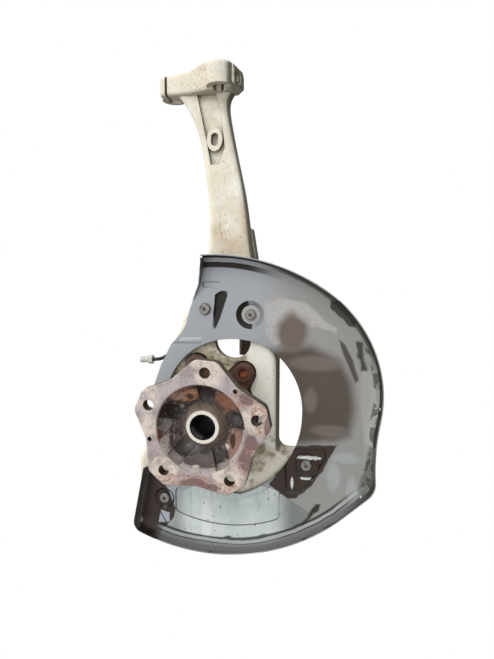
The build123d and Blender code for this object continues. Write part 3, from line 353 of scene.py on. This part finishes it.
def hub_dish(p, radius):
    """The dish's tone: black and brown, with copper, grey and bright worn patches, a painted
    highlight, and painted shade in the pockets and hollows.
    """
    tone = p.mix(p.clouds(0.007, 0.4, 0.62, detail=6), rgb(92, 74, 68), rgb(52, 42, 38))
    tone = p.lay(tone, p.clouds(0.004, 0.58, 0.66, detail=6), rgb(150, 132, 126), 0.5)
    burnt = p.clouds(0.006, 0.38, 0.62, detail=7, rough=0.65)
    copper = p.mix(burnt, rgb(202, 146, 110), rgb(132, 78, 50))
    copper = p.lay(copper, p.clouds(0.003, 0.56, 0.66), rgb(222, 190, 166), 0.7)
    tone = p.dab(tone, copper, (-21, 14, 37), (17, 20, 10), 0.8, 0.008)
    tone = p.dab(tone, rgb(150, 102, 78), (27, 14, 31), (16, 20, 13), 0.6, 0.008)
    flaked = p.mix(p.clouds(0.004, 0.46, 0.6, detail=6), rgb(66, 50, 44), rgb(150, 138, 132))

    # Marks on the webs: colour, centre, half-lengths, raggedness, grain and strength; the
    # near-white one low on the bottom web is a painted highlight
    for patch in (
        (flaked, (-43, 10, -14), (9, 16, 26), 0.9, 0.008),
        (rgb(88, 77, 73), (-6, 14, -42), (20, 20, 7), 0.8, 0.008),
        (rgb(206, 196, 190), (-8, 14, -47), (7, 20, 3), 1.2, 0.006),
        (rgb(190, 162, 142), (-27, 14, 35), (7, 20, 6), 1.0, 0.006, 0.8),
        (rgb(148, 142, 136), (-43, 14, 1), (5, 20, 8), 1.0, 0.006, 0.8),
        (rgb(84, 66, 60), (-16, 14, 33), (4, 20, 4), 1.0, 0.006),
        (rgb(150, 114, 102), (36, 12, -20), (12, 20, 20), 0.8, 0.008),
    ):
        tone = p.dab(tone, *patch)
    # Dark pockets, partly their own dark rust and partly painted shade in their depth
    for pocket in range(LOBES):
        turn = FIRST_POCKET + math.tau / LOBES * pocket
        centre = (POCKET_CIRCLE_R * math.cos(turn), 16, POCKET_CIRCLE_R * math.sin(turn))
        tone = p.dab(tone, rgb(46, 35, 32), centre, (11, 16, 11), 0.5, 0.006, 0.8)
    # Marks over the pockets, in rows of the same kind, some with their own softness at the end
    for patch in (
        (rgb(70, 40, 26), (33, 14, -16), (4, 20, 8), 0.6, 0.006),
        (rgb(104, 58, 42), (-51, 14, -14), (4, 30, 17), 0.9, 0.006),
        (rgb(190, 176, 164), (-44, 14, -22), (4, 30, 10), 1.4, 0.005, 0.9),
        (rgb(140, 132, 134), (-15, 18, -27), (10, 20, 6), 0.6, 0.01, 0.5, 0.5),
        (rgb(104, 98, 104), (38, 16, 6), (6, 20, 7), 0.6, 0.008, 0.7, 0.4),
        (rgb(226, 216, 206), (-27, 17, 19), (5, 8, 4), 0.8, 0.004),
        (rgb(226, 216, 206), (24, 17, -24), (5, 8, 4), 0.8, 0.004),
    ):
        tone = p.dab(tone, *patch)

    gold = p.both(p.spot((23, 10, 17), (7, 12, 6), 1.0, 0.006), p.band(radius, 0.024, 0.0255))
    tone = p.lay(tone, gold, rgb(150, 104, 62), 0.8)
    lit = p.area((60, 20), (-60, -32), (-20, -70), (70, -50), soft=14)
    tone = p.lay(tone, p.both(p.band(radius, *LEDGE_R), lit), rgb(184, 172, 168), 0.85)
    collar = p.mix(p.noise(0.006, 6), rgb(84, 66, 56), rgb(186, 168, 152))
    tone = p.mix(p.band(radius, *COLLAR_R), tone, collar)
    tone = p.lay(tone, p.clouds(0.0016, 0.5, 0.7, detail=4), rgb(40, 30, 26), 0.5)
    tone = p.lay(tone, p.clouds(0.005, 0.6, 0.66, detail=6, warp=1.0), rgb(196, 176, 164), 0.45)
    # Painted shade in the dish's deep corners and hollows
    return p.lay(tone, p.band(p.hollow(0.03), 0.75, 0.35), rgb(24, 18, 16), 0.6)


def forged_hub():
    """Rusted hub: pale flange, dark dish, bright nose, brown barrel, splines in the bore, and
    painted shade in the bore and hollows.
    """
    p = Paint("forged_hub")
    tone = hub_flange(p)
    y, radius = p.axis("Y"), p.radius()
    inner = hub_dish(p, radius)
    dish = p.both(p.band(y, *DISH_DEPTH), p.band(radius, *DISH_R))
    tone = p.mix(dish, tone, inner)
    nose = p.both(p.band(y, *NOSE_DEPTH), p.band(radius, *NOSE_R))
    tone = p.mix(nose, tone, p.mix(p.noise(0.003), rgb(244, 240, 230), rgb(214, 206, 192)))
    barrel = p.both(p.band(radius, *BARREL_R), p.band(p.facing(FRONT), 0.6, 0.2))
    tone = p.mix(barrel, tone, p.mix(p.noise(0.01), rgb(52, 44, 34), rgb(92, 78, 60)))
    tone = p.lay(tone, p.edge(0.0008), rgb(216, 203, 190), 0.5)
    # The bore painted near black as shade, with a painted highlight on the spline tips at its lower
    # left
    lit_teeth = p.both(p.spot((-8, 17, -8), (9, 7, 9)), p.band(radius, *SPLINE_TIP_R))
    bore_shade = p.mix(p.both(lit_teeth, 0.8), rgb(12, 10, 9), rgb(150, 142, 134))
    tone = p.mix(p.both(p.band(radius, *BORE_R), p.band(y, *BORE_DEPTH)), tone, bore_shade)
    # Painted shade in hollows
    tone = p.lay(tone, p.band(p.hollow(0.01), 0.7, 0.3), rgb(34, 24, 18), 0.6)
    p.set(Base_Color=tone, Metallic=p.both(nose, 0.3), Roughness=p.clouds(0.005, -0.5, 1.5))
    p.bump((p.noise(0.0012, 4), 0.00018), (p.noise(0.007), 0.0005), soft=0.0008)
    return p.material


def grimy_steel():
    """Bearing ring: dark brown rust under dried grease."""
    p = Paint("grimy_steel")
    tone = p.mix(p.noise(0.006, 7, 0.7), rgb(42, 30, 24), rgb(122, 84, 64))
    tone = p.mix(p.clouds(0.014, 0.5, 0.62), tone, rgb(96, 78, 74))
    tone = p.lay(tone, p.edge(0.001), rgb(150, 122, 102), 0.4)
    p.set(Base_Color=tone, Metallic=0.2, Roughness=p.clouds(0.006, -0.4, 1.4))
    p.bump((p.noise(0.0018, 4), 0.0004), (p.noise(0.008), 0.0008), soft=0.001)
    return p.material


def rusty_bolt():
    """Orange-brown rust with darker patches."""
    p = Paint("rusty_bolt")
    tone = p.mix(p.noise(0.004, 7, 0.7), rgb(96, 48, 28), rgb(186, 104, 62))
    tone = p.mix(p.clouds(0.009, 0.55, 0.66), tone, rgb(70, 52, 44))
    p.set(Base_Color=tone, Metallic=0.1, Roughness=p.clouds(0.003, -1.0, 1.4))
    p.bump((p.noise(0.0012, 4), 0.0003), soft=0.0006)
    return p.material


def sheet_film(p, x, z):
    """The shield's upper and right part: grey painted as the sky's reflection, haze on the fold,
    brown by the opening, and painted highlights, reflections and shade.
    """
    # Grey painted on the gloss black as the sky's reflection, dimmer to the right
    sky_sheen = p.mix(p.noise(0.05), rgb(158, 161, 165), rgb(170, 173, 177))
    warm = p.mix(p.noise(0.04), rgb(146, 144, 141), rgb(158, 156, 152))
    tone = p.mix(p.band(x, 0.04, 0.12), sky_sheen, warm)
    light_edge = p.area((-41, 91.5), (-14, 93.5), (-14, 96.5), (-41, 95), soft=1)
    tone = p.mix(light_edge, tone, rgb(190, 192, 192))
    dark_edge = p.area((-60, 87.5), (-14, 88.5), (-14, 90), (-60, 90), soft=1)
    tone = p.mix(dark_edge, tone, rgb(132, 135, 138))
    dust = p.clouds(0.0009, 0.4, 0.62, detail=3)
    speckle = p.mix(dust, rgb(172, 168, 165), rgb(196, 194, 191))
    speckle = p.lay(speckle, p.clouds(0.012, 0.45, 0.62, detail=4), rgb(156, 147, 142), 0.5)
    haze = p.either(
        p.area(*corners, soft=4, ragged=12, grain=0.012)
        for corners in (
            ((64, 100), (74, 90), (90, 92), (96, 140), (80, 147), (64, 142)),
            ((82, 116), (118, 110), (146, 100), (146, 110), (112, 138), (82, 146)),
        )
    )
    tone = p.lay(tone, haze, speckle, 0.9)

    brown = p.mix(p.band(z, 0.0, 0.07), rgb(76, 68, 61), rgb(81, 70, 64))
    brown = p.lay(brown, p.noise(0.03), rgb(106, 96, 88), 0.6)
    by_opening = p.area(
        (70, -34), (147, -24), (164, -16), (169, 18), (166, 47), (152, 73), (118, 89), (70, 84),
        soft=16, ragged=8, grain=0.04,
    )
    tone = p.mix(by_opening, tone, brown)
    # Painted shade along a crease
    crease = p.area(
        (153, 85), (160, 68), (169, 47), (173, 50), (166, 73), (156, 92), (150, 97),
        soft=3, ragged=3,
    )
    tone = p.lay(tone, crease, rgb(58, 52, 48), 0.85)
    # Painted reflection: a light grey band on the right rim
    strip = p.area(
        (176, 23), (181, -25), (194, -27), (197, 0), (189, 57), (176, 67), soft=4, ragged=6
    )
    tone = p.lay(tone, strip, rgb(166, 165, 160), 0.8)
    tone = p.dab(tone, rgb(112, 100, 91), (95, SHEET_Y, 104), (18, 14, 23), 0.6, 0.012, soft=0.35)
    # Painted highlights: pale streaks on the brown
    for centre, size in (
        ((118, SHEET_Y, 24), (8, 10, 14)),
        ((141, SHEET_Y, -12), (20, 10, 7)),
        ((122, SHEET_Y, 68), (30, 10, 9)),
    ):
        tone = p.dab(tone, rgb(136, 124, 119), centre, size, 0.5, 0.008, 0.5, soft=0.35)
    # Painted reflection on the lower right: grey with lighter blots
    low_right = p.area(
        (134, -48), (190, -30), (206, -70), (190, -104), (140, -130), (84, -156), (124, -108),
        soft=6, ragged=10,
    )
    grey = p.mix(p.noise(0.03, warp=1.0), rgb(120, 122, 122), rgb(146, 148, 148))
    tone = p.mix(low_right, tone, grey)
    for centre, size in (
        ((146, SHEET_Y, -66), (8, 10, 18)),
        ((160, SHEET_Y, -44), (16, 10, 6)),
        ((168, SHEET_Y, -84), (6, 10, 18)),
    ):
        tone = p.dab(tone, rgb(168, 172, 174), centre, size, 0.9, 0.012, 0.7, soft=0.3)
    return tone


def sheet_foot(p, x, tone):
    """The tone with the shield's lower part: dark gloss at both ends and a pale panel between, with
    painted glints, highlights and a painted shadow.
    """
    left = p.area(
        (-92, -60), (-120, -112), (-120, -146), (-60, -176),
        (-26, -170), (-46, -128), (-26, -104), (-20, -60),
        soft=2, ragged=8, grain=0.018,
    )
    pad = p.area(
        (98, -33), (86, -52), (70, -82), (86, -102), (102, -98), (126, -77), (136, -56), (152, -29),
        soft=1.5, ragged=10, grain=0.014,
    )
    gloss = p.mix(p.noise(0.02), rgb(54, 44, 38), rgb(74, 60, 52))
    tone = p.mix(p.either((left, pad)), tone, gloss)
    # Painted glints round the screw on the pad
    for centre, size in (
        ((115, SHEET_Y, -47), (13, 12, 2.6)),
        ((114, SHEET_Y, -73), (8, 12, 2)),
        ((97, SHEET_Y, -80), (1.6, 12, 8)),
    ):
        tone = p.dab(tone, rgb(226, 226, 220), centre, size, 1.4, 0.005, soft=0.12)

    panel = p.area(
        (-46, -104), (-50, -126), (-60, -149), (-10, -166), (44, -168), (84, -152),
        (105, -134), (126, -110), (118, -101), (80, -92), (66, -84), (-10, -84),
        soft=1.2, ragged=8, grain=0.03,
    )
    pale = p.mix(p.clouds(0.03, 0.35, 0.65, warp=0.8), rgb(192, 203, 198), rgb(214, 220, 216))
    wisps = p.clouds(0.016, 0.56, 0.66, stretch=(3, 1, 0.6))
    pale = p.lay(pale, wisps, rgb(170, 178, 172), 0.5)
    pale = p.mix(p.band(x, -0.03, -0.05), pale, rgb(158, 163, 158))
    pale = p.mix(p.band(x, 0.07, 0.1), pale, rgb(128, 131, 126))
    pale = p.dab(pale, rgb(226, 230, 226), (-10, SHEET_Y, -136), (7, 10, 26), 0.3, 0.01)
    pale = p.mix(p.band(p.pits(0.009), 0.13, 0.07), pale, rgb(110, 112, 104))
    tone = p.mix(panel, tone, pale)
    # Painted shadow at the panel's lower right end
    panel_end = p.area(
        (109, -132), (115, -127), (129, -110), (131, -103), (126, -103),
        soft=3, ragged=8, grain=0.01,
    )
    tone = p.mix(panel_end, tone, rgb(56, 54, 50))
    # Painted highlights on the dark gloss at the lower left: a bright patch and a spot
    shine = p.area((-73, -144), (-59, -143), (-58, -130), (-70, -128), soft=1)
    tone = p.mix(shine, tone, rgb(176, 178, 186))
    return p.dab(tone, rgb(190, 190, 196), (-98, SHEET_Y, -141), (5, 12, 6), 0.4, 0.01)


def sheet_pressings(p, tone):
    """The tone with the shade in the pressed wedge and cup, and round the screws."""
    wedge = p.area(
        (2, 106), (9, 121), (18, 147), (15, 152), (8, 151), (3, 147), (1, 124),
        soft=1, ragged=3, grain=0.008,
    )
    tone = p.mix(wedge, tone, rgb(44, 40, 35))
    away = p.radius(*PRESSED_CUP)
    wall = p.both(p.band(away, *CUP_WALL_R), p.band(away, *CUP_RIM_R))
    shaded = p.area((20, 96), (50, 100), (42, 150), (20, 150), soft=4)
    tone = p.mix(p.both(wall, shaded), tone, rgb(46, 41, 37))
    lit = p.area((52, 104), (72, 104), (72, 136), (46, 142), soft=6)
    tone = p.lay(tone, p.both(wall, lit), rgb(122, 122, 121), 0.7)
    tone = p.mix(p.band(away, *CUP_FLOOR_R), tone, rgb(176, 176, 174))
    for x, z, inner_r, outer_r in SCREW_SEATS:
        shade = p.band(p.radius(x, z), outer_r * MM, inner_r * MM)
        tone = p.lay(tone, shade, rgb(40, 36, 33), 0.8)
    return tone


def sheet_rim(p, x, z, front, tone):
    """The tone with dark and bright stripes on the rolled rim, painted as reflections, which follow
    how it turns away.
    """
    rolled = p.either((p.band(p.radius(*ROLL_CENTRE), *ROLL_R), p.band(x, *ROLL_X)))
    upper = p.both(p.band(z, 0.05, 0.09), rolled)
    lower = p.both(p.band(z, -0.07, -0.11), p.band(x, -0.078, -0.062))
    wobble = p.calc("SUBTRACT", p.noise(0.03, 2), 0.5)
    sway = p.calc("ADD", front, p.both(wobble, 0.2, p.band(front, 0.998, 0.9)))
    left = p.band(x, 0.09, 0.04)
    top = p.both(upper, left, p.band(sway, 0.9999, 0.996), p.band(sway, 0.86, 0.9))
    tone = p.mix(top, tone, rgb(42, 38, 34))
    far = p.both(upper, p.band(x, 0.05, 0.09), p.band(sway, 0.9, 0.7))
    tone = p.lay(tone, far, rgb(58, 56, 51), 0.85)
    bright = p.both(upper, p.band(sway, 0.88, 0.82), p.band(sway, 0.56, 0.62))
    bright = p.both(bright, p.band(x, 0.1, 0.06), p.clouds(0.014, 0.36, 0.5, detail=4))
    tone = p.lay(tone, bright, p.mix(left, rgb(140, 139, 134), rgb(176, 178, 180)), 0.8)
    lip = p.both(p.band(sway, 0.58, 0.52), p.either((rolled, p.band(z, 0.06, 0.04))))
    tone = p.mix(p.both(lip, p.band(x, -0.2, -0.1)), tone, rgb(40, 37, 32))

    # Dark streaks and bare steel down the right side, and a dark band and glints painted there as
    # reflections
    for corners, soft, ragged in (
        (((140, 134), (160, 112), (168, 112), (163, 125), (149, 141), (139, 142)), 2, 8),
        (((171, 78), (176, 62), (182, 62), (175, 95), (169, 95)), 4, 10),
    ):
        patch = p.area(*corners, soft=soft, ragged=ragged, grain=0.01)
        tone = p.lay(tone, patch, rgb(50, 48, 44), 0.9)
    worn = p.area((175, -83), (181, -87), (195, -69), (198, -24), (187, -27), soft=4, ragged=6)
    bare = p.mix(p.clouds(0.004, 0.56, 0.62, detail=4), rgb(98, 98, 93), rgb(40, 38, 34))
    tone = p.lay(tone, worn, bare, 0.8)
    right = p.band(x, 0.14, 0.165)
    streak = p.clouds(0.018, 0.5, 0.55, detail=3, warp=1.2)
    streak = p.both(right, p.band(sway, 0.97, 0.9), streak)
    tone = p.lay(tone, streak, rgb(48, 45, 41), 0.7)
    glint = p.both(right, p.band(sway, 0.8, 0.6), p.clouds(0.012, 0.66, 0.69, detail=3))
    tone = p.mix(glint, tone, rgb(240, 240, 238))

    # Painted reflection stripes along the foot, each as the span of facing that it takes
    for low, high, colour in (
        (0.93, 0.985, rgb(34, 34, 32)),
        (0.8, 0.93, rgb(158, 162, 160)),
        (0.72, 0.8, rgb(40, 40, 38)),
        (0.0, 0.72, rgb(116, 116, 114)),
    ):
        below = p.band(sway, high + STRIPE_SOFT, high - STRIPE_SOFT)
        above = p.band(sway, low - STRIPE_SOFT, low + STRIPE_SOFT)
        tone = p.lay(tone, p.both(lower, below, above), colour, 0.9)
    return tone


def black_sheet():
    """Gloss black sheet, mostly grey with painted sky reflection, with brown and bare patches and
    painted highlights, reflections and shade.
    """
    p = Paint("black_sheet")
    x, z, front = p.axis("X"), p.axis("Z"), p.facing(FRONT)
    tone = sheet_film(p, x, z)
    tone = sheet_foot(p, x, tone)
    tone = sheet_pressings(p, tone)
    tone = sheet_rim(p, x, z, front, tone)
    # Faces of the left flange turned to the right are painted grey
    left_flange = p.both(p.band(p.facing(RIGHT), 0.6, 0.9), p.band(x, 0.0, -0.005))
    right_face_grey = p.mix(p.noise(0.012), rgb(112, 107, 100), rgb(84, 78, 72))
    tone = p.mix(left_flange, tone, right_face_grey)
    behind = p.mix(p.noise(0.012), rgb(46, 43, 40), rgb(84, 76, 68))
    tone = p.mix(p.band(p.facing(BACK), 0.2, 0.7), tone, behind)
    p.set(Base_Color=tone, Metallic=0.0, Roughness=p.clouds(0.02, -0.5, 2.2))
    p.set(Specular_IOR_Level=0.15, Coat_Weight=0.12, Coat_Roughness=0.1)
    p.bump((p.noise(0.0015, 3), 0.00005), (p.noise(0.05, 2), 0.0018), soft=0.0008)
    return p.material


def plated(name, light, dull, rust, share):
    """Zinc plating gone dull, with rust in a share of it and painted shade in its hollows."""
    p = Paint(name)
    tone = p.mix(p.noise(0.003, 6), light, dull)
    tone = p.mix(p.clouds(0.0025, 1 - share, 1.05 - share, detail=6, rough=0.7), tone, rust)
    # Painted shade in hollows
    tone = p.mix(p.band(p.hollow(0.004), 0.6, 0.25), tone, rgb(50, 44, 38))
    p.set(Base_Color=tone, Metallic=0.55, Roughness=p.clouds(0.002, -0.4, 1.3))
    p.bump((p.noise(0.0009, 3), 0.00015), soft=0.0005)
    return p.material


def plain(name, light, dark, metal, gloss):
    """Even finish with fine grain, soft clouds of wear, and painted shade in hollows."""
    p = Paint(name)
    tone = p.mix(p.noise(0.008), light, dark)
    # Painted shade in hollows
    tone = p.lay(tone, p.band(p.hollow(0.005), 0.7, 0.3), rgb(24, 22, 20), 0.5)
    p.set(Base_Color=tone, Metallic=metal, Roughness=p.clouds(0.002, gloss - 1.2, gloss + 1.2))
    p.bump((p.noise(0.002, 3), 0.0001), soft=0.0005)
    return p.material


zinc = plated("zinc_steel", rgb(226, 226, 220), rgb(168, 164, 154), rgb(116, 88, 66), 0.36)
screw = plated("screw_steel", rgb(170, 166, 160), rgb(112, 106, 100), rgb(70, 54, 46), 0.42)
worn_zinc = plated("worn_zinc", rgb(120, 112, 100), rgb(80, 72, 62), rgb(92, 60, 42), 0.45)
ground = plain("bearing_steel", rgb(168, 164, 158), rgb(128, 124, 118), 0.9, 0.3)
rubber = plain("seal_rubber", rgb(34, 33, 33), rgb(20, 20, 20), 0.0, 0.7)
nylon = plain("cage_plastic", rgb(206, 196, 164), rgb(180, 166, 130), 0.0, 0.5)
coating = plain("pipe_black", rgb(40, 40, 41), rgb(22, 22, 23), 0.0, 0.4)

# Nodes that aren't named here are bearing steel
looks = {
    "knuckle": cast_aluminium(),
    "wheel_hub": forged_hub(),
    "bearing_outer_ring": grimy_steel(),
    "bearing_bolts": rusty_bolt(),
    "dust_shield": black_sheet(),
    "shield_screws": screw,
    "caliper_pipe_nut": zinc,
    "hose_pipe_nut": worn_zinc,
    "hose_union": worn_zinc,
    "hose_bracket": worn_zinc,
    "bracket_bolt": worn_zinc,
    "brake_pipe": coating,
    "outboard_cage": nylon,
    "inboard_cage": nylon,
    "outboard_seal_lip": rubber,
    "inboard_seal_lip": rubber,
    "encoder_ring": rubber,
}
for name, node in nodes.items():
    node.data.materials.clear()
    node.data.materials.append(looks.get(name, ground))

# Camera at the photograph's place
right = Vector(CAMERA_RIGHT).normalized()
forward = Vector(CAMERA_FORWARD).normalized()
turned = Matrix((right, right.cross(forward), -forward)).transposed().to_4x4()
camera = bpy.data.objects.new("camera", bpy.data.cameras.new("camera"))
bpy.context.scene.collection.objects.link(camera)
camera.matrix_world = Matrix.Translation(CAMERA_PLACE) @ turned
camera.data.lens = CAMERA_LENS
camera.data.sensor_width = 36.0
camera.data.clip_start = 0.01
bpy.context.scene.camera = camera

# Light: a bright overcast sky from the front left, darker to the right, and white behind the part
world = bpy.data.worlds.new("sky")
bpy.context.scene.world = world
world.use_nodes = True
tree = world.node_tree
tree.nodes.clear()
direction = tree.nodes.new("ShaderNodeTexCoord").outputs["Generated"]
lean = tree.nodes.new("ShaderNodeVectorMath")
lean.operation = "DOT_PRODUCT"
lean.inputs[1].default_value = Vector(SKY_FROM).normalized()
tree.links.new(direction, lean.inputs[0])
level = tree.nodes.new("ShaderNodeMapRange")
level.interpolation_type = "SMOOTHSTEP"
level.inputs["From Min"].default_value, level.inputs["From Max"].default_value = SKY_SPREAD
level.inputs["To Min"].default_value, level.inputs["To Max"].default_value = SKY_STRENGTH
tree.links.new(lean.outputs["Value"], level.inputs["Value"])
sky = tree.nodes.new("ShaderNodeBackground")
sky.inputs["Color"].default_value = SKY_COLOUR
tree.links.new(level.outputs["Result"], sky.inputs["Strength"])
white = tree.nodes.new("ShaderNodeBackground")
white.inputs["Color"].default_value = WHITE
seen = tree.nodes.new("ShaderNodeLightPath")
blend = tree.nodes.new("ShaderNodeMixShader")
tree.links.new(seen.outputs["Is Camera Ray"], blend.inputs[0])
tree.links.new(sky.outputs[0], blend.inputs[1])
tree.links.new(white.outputs[0], blend.inputs[2])
out = tree.nodes.new("ShaderNodeOutputWorld")
tree.links.new(blend.outputs[0], out.inputs[0])

# One soft lamp from the front left
light = bpy.data.lights.new("key", "AREA")
light.size = KEY_SIZE
light.energy = KEY_POWER
light.color = KEY_COLOUR
key = bpy.data.objects.new("key", light)
bpy.context.scene.collection.objects.link(key)
key.location = KEY_PLACE
key.rotation_euler = (Vector(KEY_TARGET) - Vector(KEY_PLACE)).to_track_quat("-Z", "Y").to_euler()

bpy.context.scene.view_settings.view_transform = "Standard"
